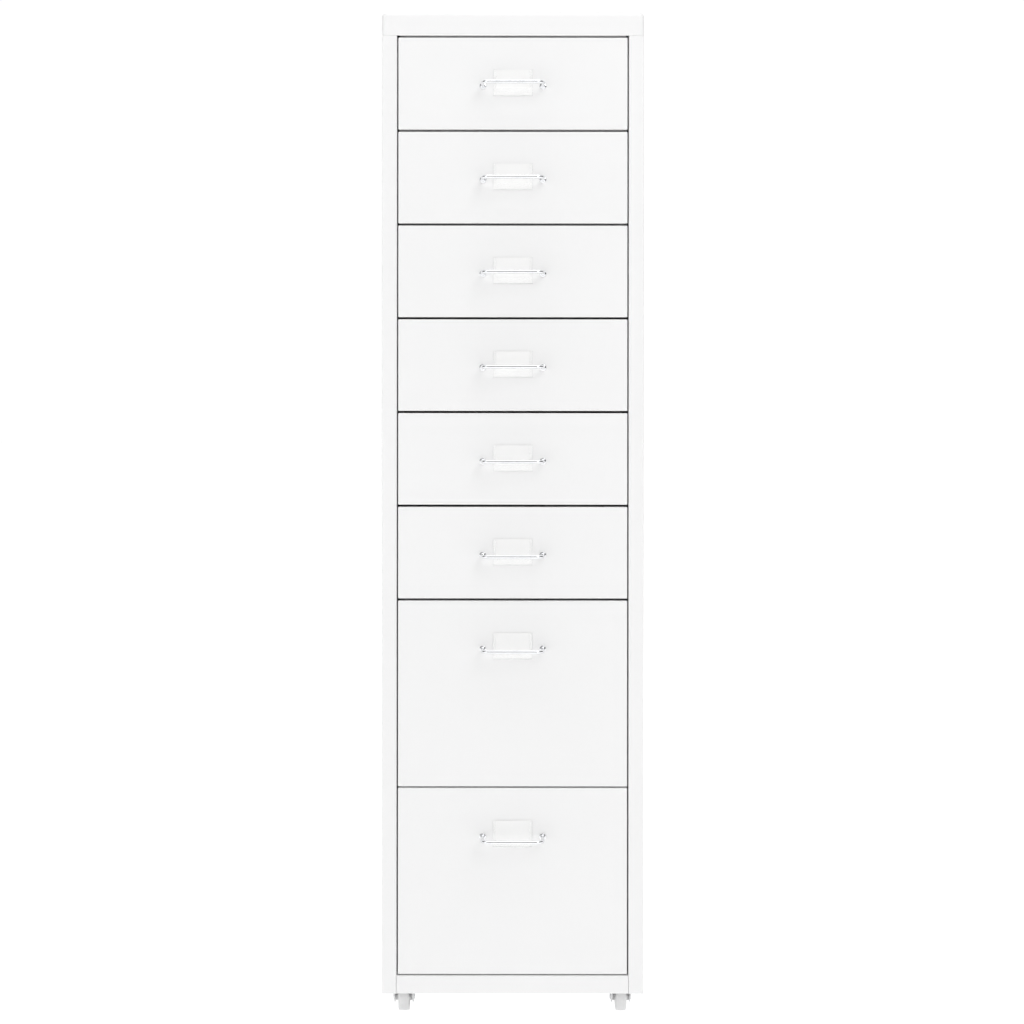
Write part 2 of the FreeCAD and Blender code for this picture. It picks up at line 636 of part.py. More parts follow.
# ------------------------------------------------------------------ casters
def fork(label, x, y):
    """Pressed yoke: round web with the lower ball race, two legs that lean in to the axle."""
    b = body(label)
    side = [("-10", "web_top"), ("14.5", "web_top"), ("14.5", "web_under"), ("23.03", "19.56"), ("trail", "wheel_r"),
            ("11.95", "11.15"), ("-10", "web_under")]
    pad(b, "YZ_Plane", "-20", "40", 1, [side])
    pad(b, "YZ_Plane", "-20", "40", 1, circles=[("trail", "wheel_r", "leg_end_r")])
    pocket(b, "XZ_Plane", "-40", "80", 1, [[
        ("-leg_in", "0"), ("leg_in", "0"), ("leg_in", "20.5"), ("11.7", "31"), ("11.7", "web_under"),
        ("-11.7", "web_under"), ("-11.7", "31"), ("-leg_in", "20.5")]])
    for s in (-1, 1):
        pocket(b, "XZ_Plane", "-40", "80", 1, [[
            ("(%d) * leg_out" % s, "0"), ("(%d) * 30" % s, "0"), ("(%d) * 30" % s, "web_top + 2"),
            ("(%d) * 13.2" % s, "web_top + 2"), ("(%d) * 13.2" % s, "31"), ("(%d) * leg_out" % s, "20.5")]])
    wt, wu = num("web_top"), num("web_under")
    fillet(b, "1.0", lambda m, d, L: along(d, 1) and near(abs(m.x), 11.7) and near(m.z, wu))
    fillet(b, "1.4", lambda m, d, L: along(d, 1) and near(abs(m.x), 13.2) and near(m.z, wt))
    pad(b, "XY_Plane", "web_under", "web_top - web_under", 1, circles=[("0", "0", "fork_disc_r")])
    pad(b, "XY_Plane", "web_top - 0.2", "2.0", 1, circles=[("0", "0", "13.2")])
    # ball groove: a ring cut turned about the swivel axis
    g = b.newObject("Sketcher::SketchObject", label + "_groove_sk")
    g.AttachmentSupport = [([o for o in b.Origin.OriginFeatures if o.Role == "XZ_Plane"][0], "")]
    g.MapMode = "FlatFace"
    g.addGeometry([Part.Circle(V(num("race_r"), 38.0, 0), V(0, 0, 1), num("ball_r") + 0.3)], False)
    i = g.addConstraint(Sketcher.Constraint("DistanceX", -1, 1, 0, 3, num("race_r")))
    g.setExpression("Constraints[%d]" % i, bound("race_r"))
    i = g.addConstraint(Sketcher.Constraint("Radius", 0, num("ball_r") + 0.3))
    g.setExpression("Constraints[%d]" % i, bound("ball_r + 0.3"))
    g.addConstraint(Sketcher.Constraint("DistanceY", -1, 1, 0, 3, 38.0))
    gr = b.newObject("PartDesign::Groove", label + "_groove")
    gr.Profile = g
    gr.ReferenceAxis = (g, ["V_Axis"])
    gr.Angle = 360.0
    doc.recompute()
    pocket(b, "XY_Plane", "30", "12", 1, circles=[("0", "0", "kingpin_r + axle_gap")])
    pocket(b, "XY_Plane", "web_top + 0.4", "4", 1, circles=[("0", "0", "8.4")])
    pocket(b, "YZ_Plane", "-20", "40", 1, circles=[("trail", "wheel_r", "axle_r + 0.02")])
    place(b, x, y)
    return keep(b)


def wheel(label, x, y):
    b = body(label)
    br = "axle_r + axle_gap"
    turn(b, [[
        ("-hub_half", br), ("hub_half", br), ("hub_half", "4.9"), ("4.9", "5.8"), ("4.9", "11.6"), ("wheel_half", "12.6"),
        ("wheel_half", "wheel_r"), ("-wheel_half", "wheel_r"), ("-wheel_half", "12.6"), ("-4.9", "11.6"), ("-4.9", "5.8"),
        ("-hub_half", "4.9")]])
    R, W = num("wheel_r"), num("wheel_half")
    fillet(b, "2.2", lambda m, d, L: near(abs(m.x), W) and L > 2 * math.pi * 15)
    place(b, x, y + " + trail", "wheel_r")
    return keep(b)


def axle(label, x, y):
    b = body(label)
    pad(b, "YZ_Plane", "-(leg_out + 0.1)", "2 * (leg_out + 0.1)", 1, circles=[("0", "0", "axle_r")])
    for s in (-1, 1):
        pad(b, "YZ_Plane", "(%d) * (leg_out + 0.02)" % s, "1.3", s, circles=[("0", "0", "3.9")])
    fillet(b, "0.8", lambda m, d, L: near(abs(m.x), num("leg_out") + 1.32))
    place(b, x, y + " + trail", "wheel_r")
    return keep(b)


for name, x, y in CASTERS:
    fork("caster_%s_fork" % name, x, y)
    wheel("caster_%s_wheel" % name, x, y)
    axle("caster_%s_axle" % name, x, y)


def caster_plate():
    """Square plate with the upper ball race pressed on its underside. Local z = 0 is its top."""
    b = body("caster_plate_master")
    p = "plate_half"
    pad(b, "XY_Plane", "0", "plate_t", -1, [rect("-" + p, "-" + p, p, p)])
    fillet(b, "4", lambda m, d, L: along(d, 2))
    pad(b, "XY_Plane", "-plate_t + 0.2", "2.5", -1, circles=[("0", "0", "13.2")])
    g = b.newObject("Sketcher::SketchObject", "caster_plate_groove_sk")
    g.AttachmentSupport = [([o for o in b.Origin.OriginFeatures if o.Role == "XZ_Plane"][0], "")]
    g.MapMode = "FlatFace"
    g.addGeometry([Part.Circle(V(num("race_r"), -5.0, 0), V(0, 0, 1), num("ball_r") + 0.3)], False)
    i = g.addConstraint(Sketcher.Constraint("DistanceX", -1, 1, 0, 3, num("race_r")))
    g.setExpression("Constraints[%d]" % i, bound("race_r"))
    i = g.addConstraint(Sketcher.Constraint("Radius", 0, num("ball_r") + 0.3))
    g.setExpression("Constraints[%d]" % i, bound("ball_r + 0.3"))
    g.addConstraint(Sketcher.Constraint("DistanceY", 0, 3, -1, 1, 5.0))
    gr = b.newObject("PartDesign::Groove", "caster_plate_groove")
    gr.Profile = g
    gr.ReferenceAxis = (g, ["V_Axis"])
    gr.Angle = 360.0
    doc.recompute()
    pocket(b, "XY_Plane", "1", "8", -1, circles=[("0", "0", "kingpin_r")])
    pocket(b, "XY_Plane", "1", "2", -1, circles=[("0", "0", "5.5")])
    pocket(b, "XY_Plane", "-plate_t - 0.4", "4", -1, circles=[("0", "0", "8.4")])
    pocket(b, "XY_Plane", "1", "4", -1, circles=[
        (i + "bolt_off", j + "bolt_off", "bolt_hole_r") for i in ("-", "") for j in ("-", "")])
    return b


plate = caster_plate()
group("caster_plates", plate, [(x, y, "caster_height", None) for _, x, y in CASTERS])


def kingpin():
    """Swivel rivet. Local z = 0 is the plate's top."""
    b = body("caster_kingpin_master")
    pad(b, "XY_Plane", "-10.3", "10", 1, circles=[("0", "0", "kingpin_r")])
    pad(b, "XY_Plane", "-1", "0.9", 1, circles=[("0", "0", "5.4")])
    pad(b, "XY_Plane", "-9.3", "1.4", -1, circles=[("0", "0", "6")])
    fillet(b, "1.0", lambda m, d, L: near(m.z, -10.7))
    return b


group("caster_kingpins", kingpin(), [(x, y, "caster_height", None) for _, x, y in CASTERS])


# ball ring of each caster
ball = doc.addObject("Part::Sphere", "caster_ball_master")
ball.setExpression("Radius", bound("ball_r"))
doc.recompute()
BALLS = 14
spots = []
for _, x, y in CASTERS:
    for k in range(BALLS):
        a = 2 * math.pi * (k + 0.5) / BALLS
        spots.append(("%s + %.6f * race_r" % (x, math.cos(a)), "%s + %.6f * race_r" % (y, math.sin(a)),
                      "caster_height - 5", None))
group("caster_balls", ball, spots)


def screw(label, head_r, head_t, r, length):
    """Pan-head screw, shank along +Z from the seat at z = 0, cross recess in the head."""
    b = body(label)
    pad(b, "XY_Plane", "0", head_t, -1, circles=[("0", "0", head_r)])
    fillet(b, "%s * 0.62" % head_t, lambda m, d, L: near(m.z, -num(head_t)))
    pad(b, "XY_Plane", "-0.2", "%s + 0.2" % length, 1, circles=[("0", "0", r)])
    for p in (rect("-2", "-0.45", "2", "0.45"), rect("-0.45", "-2", "0.45", "2")):
        pocket(b, "XY_Plane", "-(%s) - 1" % head_t, "2.1", 1, [p])
    return b


bolt = screw("caster_bolt_master", "3.6", "2.0", "bolt_r", "8")
group("caster_bolts", bolt, [
    ("%s %s bolt_off" % (x, i), "%s %s bolt_off" % (y, j), "caster_height - plate_t", None)
    for _, x, y in CASTERS for i in ("-", "+") for j in ("-", "+")])


def nut():
    b = body("caster_nut_master")
    hexa = [("%.6f * 4.04" % math.cos(math.radians(60 * k)), "%.6f * 4.04" % math.sin(math.radians(60 * k))) for k in range(6)]
    hexa = [(a if abs(num(a)) > 1e-6 else "0", c if abs(num(c)) > 1e-6 else "0") for a, c in hexa]
    pad(b, "XY_Plane", "0", "3.2", 1, [hexa])
    pocket(b, "XY_Plane", "-1", "6", 1, circles=[("0", "0", "bolt_r + 0.08")])
    return b


# the outer nuts sit on the side panel's flange, one sheet higher than the inner ones
spots = []
for _, x, y in CASTERS:
    left = x.startswith("-")
    for i in ("-", "+"):
        outer = (i == "-") == left
        for j in ("-", "+"):
            # the front flange of the side stops before the two foremost bolts
            on_flange = outer and num("%s %s bolt_off" % (y, j)) > num("-front_y + return_depth + 2")
            spots.append(("%s %s bolt_off" % (x, i), "%s %s bolt_off" % (y, j),
                          "caster_height + %d * sheet_t" % (2 if on_flange else 1), None))
group("caster_nuts", nut(), spots)

small = screw("body_screw_master", "screw_head_r", "screw_head_t", "screw_r", "screw_len")
REAR = FreeCAD.Rotation(V(1, 0, 0), 90)
spots = []
for s in (-1, 1):
    spots += [("(%d) * (%s)" % (s, REAR_SCREW_X), "back_y", z, REAR) for z in REAR_SCREW_Z]
    spots += [("(%d) * %s" % (s, SIDE_SCREW_X), y, "caster_height", None) for y in BASE_SCREW_Y]
    spots += [("(%d) * %s" % (s, SIDE_SCREW_X), y, CAP_Z + " - sheet_t", None) for y in TOP_SCREW_Y]
group("body_screws", small, spots)


# ------------------------------------------------------------------ check and write
doc.recompute()
bad = [o.Name + ": " + ", ".join(o.State) for o in doc.Objects if "Invalid" in o.State or "Error" in o.State]
if bad:
    raise RuntimeError("failed objects: " + "; ".join(bad))
labels = [o.Label for o in NODES]
if len(set(labels)) != len(labels) or len(labels) > 60:
    raise RuntimeError("node names")
box = FreeCAD.BoundBox()
for o in NODES:
    shape = o.Shape
    if shape.isNull() or not shape.isValid() or not shape.Solids:
        raise RuntimeError("bad shape: " + o.Label)
    box.add(shape.optimalBoundingBox(False))
    shape.exportStep("parts/%s.step" % o.Label)
print("%d nodes, %d solids" % (len(NODES), sum(len(o.Shape.Solids) for o in NODES)))
print("x %.2f..%.2f  y %.2f..%.2f  z %.2f..%.2f" % (box.XMin, box.XMax, box.YMin, box.YMax, box.ZMin, box.ZMax))
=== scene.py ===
import json
import math

import bmesh
import bpy
from mathutils import Matrix, Vector


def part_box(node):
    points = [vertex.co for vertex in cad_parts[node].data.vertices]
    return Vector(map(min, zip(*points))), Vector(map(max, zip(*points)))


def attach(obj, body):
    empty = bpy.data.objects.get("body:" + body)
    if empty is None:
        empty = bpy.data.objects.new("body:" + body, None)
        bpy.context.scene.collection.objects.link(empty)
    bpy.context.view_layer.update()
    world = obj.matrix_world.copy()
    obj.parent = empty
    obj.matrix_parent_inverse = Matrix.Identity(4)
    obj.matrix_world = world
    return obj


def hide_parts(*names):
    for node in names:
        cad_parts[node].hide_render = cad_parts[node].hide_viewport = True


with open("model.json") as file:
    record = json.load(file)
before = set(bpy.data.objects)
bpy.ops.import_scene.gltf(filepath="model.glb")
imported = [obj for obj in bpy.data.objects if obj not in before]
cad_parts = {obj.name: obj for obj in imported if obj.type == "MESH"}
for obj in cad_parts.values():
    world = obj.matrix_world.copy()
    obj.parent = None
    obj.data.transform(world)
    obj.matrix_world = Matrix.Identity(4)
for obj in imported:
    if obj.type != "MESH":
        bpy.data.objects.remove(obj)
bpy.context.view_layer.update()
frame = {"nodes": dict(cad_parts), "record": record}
nodes = frame["nodes"]
MM = 0.001
FRONT_Y = -0.177                     # plane of the drawer fronts
scene = bpy.context.scene


# ------------------------------------------------------------------ node helpers
def material(name):
    m = bpy.data.materials.new(name)
    m.use_nodes = True
    nt = m.node_tree
    nt.nodes.clear()
    out = nt.nodes.new("ShaderNodeOutputMaterial")
    bsdf = nt.nodes.new("ShaderNodeBsdfPrincipled")
    nt.links.new(bsdf.outputs["BSDF"], out.inputs["Surface"])
    return m, nt, bsdf


def coords(nt, scale=(1.0, 1.0, 1.0)):
    tc = nt.nodes.new("ShaderNodeTexCoord")
    mp = nt.nodes.new("ShaderNodeMapping")
    mp.inputs["Scale"].default_value = scale
    nt.links.new(tc.outputs["Object"], mp.inputs["Vector"])
    return mp.outputs["Vector"]


def noise(nt, vec, scale, detail=2.0, rough=0.5, distortion=0.0):
    n = nt.nodes.new("ShaderNodeTexNoise")
    n.inputs["Scale"].default_value = scale
    n.inputs["Detail"].default_value = detail
    n.inputs["Roughness"].default_value = rough
    n.inputs["Distortion"].default_value = distortion
    nt.links.new(vec, n.inputs["Vector"])
    return n.outputs["Fac"]


def ramp(nt, fac, stops):
    """stops: (position, (r, g, b)) pairs."""
    r = nt.nodes.new("ShaderNodeValToRGB")
    e = r.color_ramp.elements
    e[0].position, e[0].color = stops[0][0], (*stops[0][1], 1.0)
    e[1].position, e[1].color = stops[-1][0], (*stops[-1][1], 1.0)
    for pos, col in stops[1:-1]:
        n = e.new(pos)
        n.color = (*col, 1.0)
    nt.links.new(fac, r.inputs["Fac"])
    return r.outputs["Color"]


def spread(nt, fac, lo, hi, from_lo=0.3, from_hi=0.7):
    """Maps a noise value to the range lo..hi."""
    m = nt.nodes.new("ShaderNodeMapRange")
    m.inputs["From Min"].default_value = from_lo
    m.inputs["From Max"].default_value = from_hi
    m.inputs["To Min"].default_value = lo
    m.inputs["To Max"].default_value = hi
    nt.links.new(fac, m.inputs["Value"])
    return m.outputs["Result"]


def bump(nt, height, strength, distance, normal=None):
    b = nt.nodes.new("ShaderNodeBump")
    b.inputs["Strength"].default_value = strength
    b.inputs["Distance"].default_value = distance
    nt.links.new(height, b.inputs["Height"])
    if normal is not None:
        nt.links.new(normal, b.inputs["Normal"])
    return b.outputs["Normal"]


def grey(v, tint=(1.0, 1.0, 1.0)):
    return tuple(v * t for t in tint)


# ------------------------------------------------------------------ finishes
def powder_coat(name, white, rough=0.42, tint=(1.0, 1.0, 1.0), rub=0.0):
    """Baked powder coat on sheet steel: fine orange peel, a slow waviness of the sheet, and a
    faint change of tone and gloss from place to place. rub adds fine dull sliding marks along Y."""
    m, nt, b = material(name)
    v = coords(nt)
    cloud = noise(nt, v, 3.5, 3.0, 0.55)
    fine = noise(nt, v, 260.0, 2.0, 0.6)
    mix = nt.nodes.new("ShaderNodeMath")
    mix.operation = "MULTIPLY_ADD"
    nt.links.new(fine, mix.inputs[0])
    mix.inputs[1].default_value = 0.35
    nt.links.new(cloud, mix.inputs[2])
    nt.links.new(ramp(nt, mix.outputs[0], [
        (0.40, grey(white - 0.012, tint)), (0.68, grey(white, tint)), (0.95, grey(white + 0.008, tint))]),
        b.inputs["Base Color"])
    peel = noise(nt, v, 820.0, 2.0, 0.55)
    wave = noise(nt, v, 26.0, 1.0, 0.4)
    r = spread(nt, peel, rough - 0.05, rough + 0.05)
    if rub:
        lines = noise(nt, coords(nt, (1.0, 0.02, 1.0)), 900.0, 2.0, 0.7)
        add = nt.nodes.new("ShaderNodeMath")
        add.operation = "MULTIPLY_ADD"
        nt.links.new(lines, add.inputs[0])
        add.inputs[1].default_value = rub
        nt.links.new(r, add.inputs[2])
        r = add.outputs[0]
    nt.links.new(r, b.inputs["Roughness"])
    n1 = bump(nt, wave, 0.10, 0.0004)
    n2 = bump(nt, peel, 0.16, 0.00006, n1)
    nt.links.new(n2, b.inputs["Normal"])
    b.inputs["IOR"].default_value = 1.5
    b.inputs["Specular IOR Level"].default_value = 0.45
    return m


def chrome(name):
    m, nt, b = material(name)
    v = coords(nt)
    cloud = noise(nt, v, 160.0, 3.0, 0.6)
    nt.links.new(ramp(nt, cloud, [(0.3, (0.80, 0.81, 0.83)), (0.7, (0.88, 0.885, 0.90))]), b.inputs["Base Color"])
    nt.links.new(spread(nt, noise(nt, v, 420.0, 3.0, 0.6), 0.05, 0.13), b.inputs["Roughness"])
    n1 = bump(nt, noise(nt, v, 240.0, 1.0, 0.5), 0.10, 0.00003)
    nt.links.new(n1, b.inputs["Normal"])
    b.inputs["Metallic"].default_value = 1.0
    return m


def zinc(name, light=0.74, rough=0.30, grain=1.0):
    """Bright zinc plating: soft cloudy spangle and fine tumbling scratches."""
    m, nt, b = material(name)
    v = coords(nt)
    cloud = noise(nt, v, 220.0, 4.0, 0.65, 0.6)
    nt.links.new(ramp(nt, cloud, [
        (0.28, grey(light - 0.12, (0.98, 0.99, 1.0))), (0.5, grey(light, (0.985, 0.99, 1.0))),
        (0.74, grey(light + 0.07, (1.0, 1.0, 0.985)))]), b.inputs["Base Color"])
    nt.links.new(spread(nt, noise(nt, v, 900.0, 3.0, 0.7), rough - 0.08, rough + 0.10), b.inputs["Roughness"])
    scratch = noise(nt, coords(nt, (1.0, 0.12, 0.6)), 1500.0, 2.0, 0.8)
    n1 = bump(nt, scratch, 0.12 * grain, 0.00004)
    n2 = bump(nt, noise(nt, v, 380.0, 2.0, 0.5), 0.10 * grain, 0.00005, n1)
    nt.links.new(n2, b.inputs["Normal"])
    b.inputs["Metallic"].default_value = 1.0
    return m


def plastic(name, light, rough=0.45, tint=(1.0, 1.0, 1.0)):
    """Moulded plastic: dense fine texture with a faint flow mottling."""
    m, nt, b = material(name)
    v = coords(nt)
    cloud = noise(nt, v, 90.0, 3.0, 0.6, 0.8)
    nt.links.new(ramp(nt, cloud, [
        (0.3, grey(light - 0.03, tint)), (0.55, grey(light, tint)), (0.8, grey(light + 0.03, tint))]),
        b.inputs["Base Color"])
    fine = noise(nt, v, 2600.0, 2.0, 0.6)
    nt.links.new(spread(nt, fine, rough - 0.06, rough + 0.08), b.inputs["Roughness"])
    n1 = bump(nt, fine, 0.15, 0.00004)
    n2 = bump(nt, noise(nt, v, 300.0, 2.0, 0.5), 0.08, 0.00008, n1)
    nt.links.new(n2, b.inputs["Normal"])
    b.inputs["IOR"].default_value = 1.48
    return m


def clear_plastic(name):
    """Thin clear moulding: see-through where it is met square on, denser towards grazing angles.
    The foot of each side wall, where it joins the back plate, is painted opaque white by position: painted light that
    stands in for light gathering in that corner and covers the shade there."""
    m, nt, b = material(name)
    v = coords(nt)
    lw = nt.nodes.new("ShaderNodeLayerWeight")
    lw.inputs["Blend"].default_value = 0.35
    fine = noise(nt, v, 700.0, 2.0, 0.5)
    nt.links.new(ramp(nt, noise(nt, v, 120.0, 2.0, 0.5), [
        (0.3, (0.92, 0.925, 0.93)), (0.7, (0.95, 0.95, 0.95))]), b.inputs["Base Color"])
    nt.links.new(spread(nt, fine, 0.05, 0.12), b.inputs["Roughness"])
    a = nt.nodes.new("ShaderNodeMapRange")
    a.inputs["From Min"].default_value = 0.1
    a.inputs["From Max"].default_value = 0.9
    a.inputs["To Min"].default_value = 0.03
    a.inputs["To Max"].default_value = 0.16
    nt.links.new(lw.outputs["Facing"], a.inputs["Value"])
    # painted highlight: alpha rises towards opaque white near |x| 20.3-20.6 mm at the back plate's depth, covering the
    # shade at the foot of each side wall
    split = nt.nodes.new("ShaderNodeSeparateXYZ")
    nt.links.new(v, split.inputs["Vector"])
    side = nt.nodes.new("ShaderNodeMath")
    side.operation = "ABSOLUTE"
    nt.links.new(split.outputs["X"], side.inputs[0])
    foot = nt.nodes.new("ShaderNodeMath")
    foot.operation = "MULTIPLY"
    nt.links.new(spread(nt, side.outputs[0], 0.0, 0.9, 0.0203, 0.0206), foot.inputs[0])
    nt.links.new(spread(nt, split.outputs["Y"], 0.0, 1.0, FRONT_Y - 0.46 * MM, FRONT_Y - 0.41 * MM), foot.inputs[1])
    more = nt.nodes.new("ShaderNodeMath")
    more.operation = "ADD"
    more.use_clamp = True
    nt.links.new(a.outputs["Result"], more.inputs[0])
    nt.links.new(foot.outputs[0], more.inputs[1])
    nt.links.new(more.outputs[0], b.inputs["Alpha"])
    nt.links.new(bump(nt, noise(nt, v, 180.0, 2.0, 0.5), 0.08, 0.00008), b.inputs["Normal"])
    b.inputs["IOR"].default_value = 1.49
    b.inputs["Specular IOR Level"].default_value = 0.6
    return m


def paper(name):
    m, nt, b = material(name)
    v = coords(nt)
    fibre = noise(nt, coords(nt, (1.0, 1.0, 0.35)), 1900.0, 4.0, 0.7, 0.5)
    nt.links.new(ramp(nt, fibre, [(0.3, (0.888, 0.888, 0.883)), (0.7, (0.912, 0.912, 0.907))]), b.inputs["Base Color"])
    nt.links.new(spread(nt, noise(nt, v, 300.0, 2.0, 0.5), 0.75, 0.9), b.inputs["Roughness"])
    nt.links.new(bump(nt, fibre, 0.18, 0.00005), b.inputs["Normal"])
    return m


FINISH = {
    "carcass_paint": powder_coat("white_powder_coat_carcass", 0.875, 0.40),
    "front_paint": powder_coat("white_powder_coat_fronts", 0.875, 0.40),
    "drawer_paint": powder_coat("white_powder_coat_trays", 0.865, 0.44),
    "runner_paint": powder_coat("white_powder_coat_runners", 0.85, 0.42, rub=0.12),
    "handle_chrome": chrome("bright_chrome_wire"),
    "clear_plastic": clear_plastic("clear_moulded_plastic"),
    "caster_zinc": zinc("bright_zinc_pressings", 0.76, 0.28),
    "bearing_steel": zinc("polished_bearing_balls", 0.66, 0.14, 0.2),
    "screw_zinc": zinc("zinc_plated_screws", 0.70, 0.26, 0.8),
    "wheel_grey": plastic("grey_wheel_plastic", 0.86, 0.42, (1.0, 1.0, 1.0)),
}
CARD = paper("blank_label_card")

slot_of = {s["node"]: s["material_slot"] for s in frame["record"]["subparts"]}
for name, ob in nodes.items():
    ob.data.materials.clear()
    ob.data.materials.append(FINISH[slot_of[name]])


# ------------------------------------------------------------------ mesh helpers
def piece(name, bm, mat, body, angle=32.0):
    bmesh.ops.recalc_face_normals(bm, faces=bm.faces[:])
    me = bpy.data.meshes.new(name)
    bm.to_mesh(me)
    bm.free()
    me.materials.append(mat)
    for p in me.polygons:
        p.use_smooth = True
    me.set_sharp_from_angle(angle=math.radians(angle))
    ob = bpy.data.objects.new(name, me)
    scene.collection.objects.link(ob)
    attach(ob, body)
    return ob


def swept_rod(bm, path, seg):
    """A round bar of changing radius. path: (point, tangent, side vector, radius); a radius of
    zero closes the end in a point."""
    rings = []
    for p, t, side, r in path:
        if r <= 0:
            rings.append([bm.verts.new(p)])
            continue
        up = t.cross(side).normalized()
        rings.append([bm.verts.new(p + side * (r * math.cos(2 * math.pi * k / seg)) + up * (r * math.sin(2 * math.pi * k / seg)))
                      for k in range(seg)])
    for a, b in zip(rings, rings[1:]):
        for k in range(seg):
            q = (k + 1) % seg
            if len(a) == 1:
                bm.faces.new((a[0], b[q], b[k]))
            elif len(b) == 1:
                bm.faces.new((a[k], a[q], b[0]))
            else:
                bm.faces.new((a[k], a[q], b[q], b[k]))


# ------------------------------------------------------------------ wire handles
def handle(n):
    lo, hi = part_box("drawer_%d_handle" % n)
    front, foot, out, bend, r = FRONT_Y, 0.032, 0.026, 0.007, 0.002
    z = (lo.z + hi.z) / 2
    path = []
    up = Vector((0, 0, 1))

    def add(x, y, tx, ty, radius):
        path.append((Vector((x, front + y, z)), Vector((tx, ty, 0)), up, radius))

    # rivet head inside the drawer, shank, collar against the sheet, then the wire
    ends = [(1.95, 0.0), (1.94, 0.8), (1.85, 1.5), (1.60, 2.15), (1.30, 2.50), (1.0, 2.6), (0.78, 2.6), (0.75, 1.5),
            (0.02, 1.5), (0.0, 3.30), (-0.06, 3.48), (-0.20, 3.60), (-0.62, 3.60), (-0.82, 3.53), (-0.96, 3.36), (-1.0, 3.10),
            (-1.04, 2.75), (-1.14, 2.48), (-1.34, 2.24), (-1.62, 2.08), (-2.0, 2.0)]
    for y, rad in ends:
        add(-foot, y * MM, 0, -1, rad * MM)
    for y in (-6.0, -12.0, -19.0):
        add(-foot, y * MM, 0, -1, r)
    steps = 14
    for k in range(1, steps):
        a = math.pi / 2 * k / steps
        add(-foot + bend * (1 - math.cos(a)), -(out - bend) - bend * math.sin(a), math.sin(a), -math.cos(a), r)
    for x in (-25.0, -15.0, -5.0, 5.0, 15.0, 25.0):
        add(x * MM, -out, 1, 0, r)
    for k in range(1, steps):
        a = math.pi / 2 * k / steps
        add(foot - bend * (1 - math.sin(a)), -(out - bend) - bend * math.cos(a), math.cos(a), math.sin(a), r)
    for y in (-19.0, -12.0, -6.0):
        add(foot, y * MM, 0, 1, r)
    for y, rad in reversed(ends):
        add(foot, y * MM, 0, 1, rad * MM)
    bm = bmesh.new()
    swept_rod(bm, path, 32)
    ob = piece("handle_wire_%d" % n, bm, FINISH["handle_chrome"], "drawer_%d" % n, 40)
    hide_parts("drawer_%d_handle" % n)
    return z


# ------------------------------------------------------------------ label holders with blank cards
def prism(bm, loop, way):
    """A closed bar: the polygon 'loop' moved along the vector 'way'. Millimetres."""
    a = [bm.verts.new(Vector(p) * MM) for p in loop]
    b = [bm.verts.new((Vector(p) + Vector(way)) * MM) for p in loop]
    bm.faces.new(a)
    bm.faces.new(b[::-1])
    for i in range(len(a)):
        j = (i + 1) % len(a)
        bm.faces.new((a[i], a[j], b[j], b[i]))


def label_holder(n, z):
    """Thin moulding: back plate with a gutter-shaped lower lip, a channel down each side, two pegs.
    Local coordinates: x across, y out of the front (negative), z from the height of the handle."""
    bm = bmesh.new()
    prof = [(0.02, 17.2), (0.02, -10.1), (0.12, -10.38), (0.40, -10.5), (2.4, -10.5)]
    for k in range(1, 9):
        a = math.radians(90.0 * k / 8)
        prof.append((2.4 + 3.6 * math.sin(a), -6.9 - 3.6 * math.cos(a)))
    prof += [(6.0, -3.72), (5.95, -3.45), (5.80, -3.32), (5.65, -3.45), (5.6, -3.72)]
    for k in range(0, 9):
        a = math.radians(90.0 * k / 8)
        prof.append((2.4 + 3.2 * math.cos(a), -6.9 - 3.3 * math.sin(a)))
    prof += [(0.40, -10.2), (0.40, 17.2), (0.32, 17.42), (0.22, 17.5), (0.12, 17.45)]
    prism(bm, [(-21.0, -d, h) for d, h in prof], (42.0, 0, 0))
    for s in (-1, 1):
        wall = [(20.7, 0.35), (21.0, 0.35), (21.0, 2.75), (20.95, 2.93), (20.85, 3.0), (20.7, 3.0)]
        prism(bm, [(s * x, -d, -10.2) for x, d in wall], (0, 0, 27.7))
        strip = [(17.6, 2.75), (20.75, 2.70), (20.75, 3.0), (17.75, 3.0), (17.6, 2.92)]
        prism(bm, [(s * x, -d, -3.0) for x, d in strip], (0, 0, 20.4))
        seg = 24
        rings = []
        for y, r in ((-0.2, 0.0), (-0.2, 1.4), (0.76, 1.4), (0.76, 2.05), (0.88, 2.2), (1.35, 2.2), (1.55, 2.0), (1.64, 1.6), (1.64, 0.0)):
            if r == 0:
                rings.append([bm.verts.new((s * 14.0 * MM, y * MM, 5.0 * MM))])
            else:
                rings.append([bm.verts.new(((s * 14.0 + r * math.cos(2 * math.pi * k / seg)) * MM, y * MM,
                                            (5.0 + r * math.sin(2 * math.pi * k / seg)) * MM)) for k in range(seg)])
        for a, b in zip(rings, rings[1:]):
            for k in range(seg):
                q = (k + 1) % seg
                if len(a) == 1:
                    bm.faces.new((a[0], b[k], b[q]))
                elif len(b) == 1:
                    bm.faces.new((a[k], b[0], a[q]))
                else:
                    bm.faces.new((a[k], b[k], b[q], a[q]))
    bmesh.ops.translate(bm, verts=bm.verts[:], vec=(0, FRONT_Y, z))
    ob = piece("label_frame_%d" % n, bm, FINISH["clear_plastic"], "drawer_%d" % n, 32)
    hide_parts("drawer_%d_label_holder" % n)


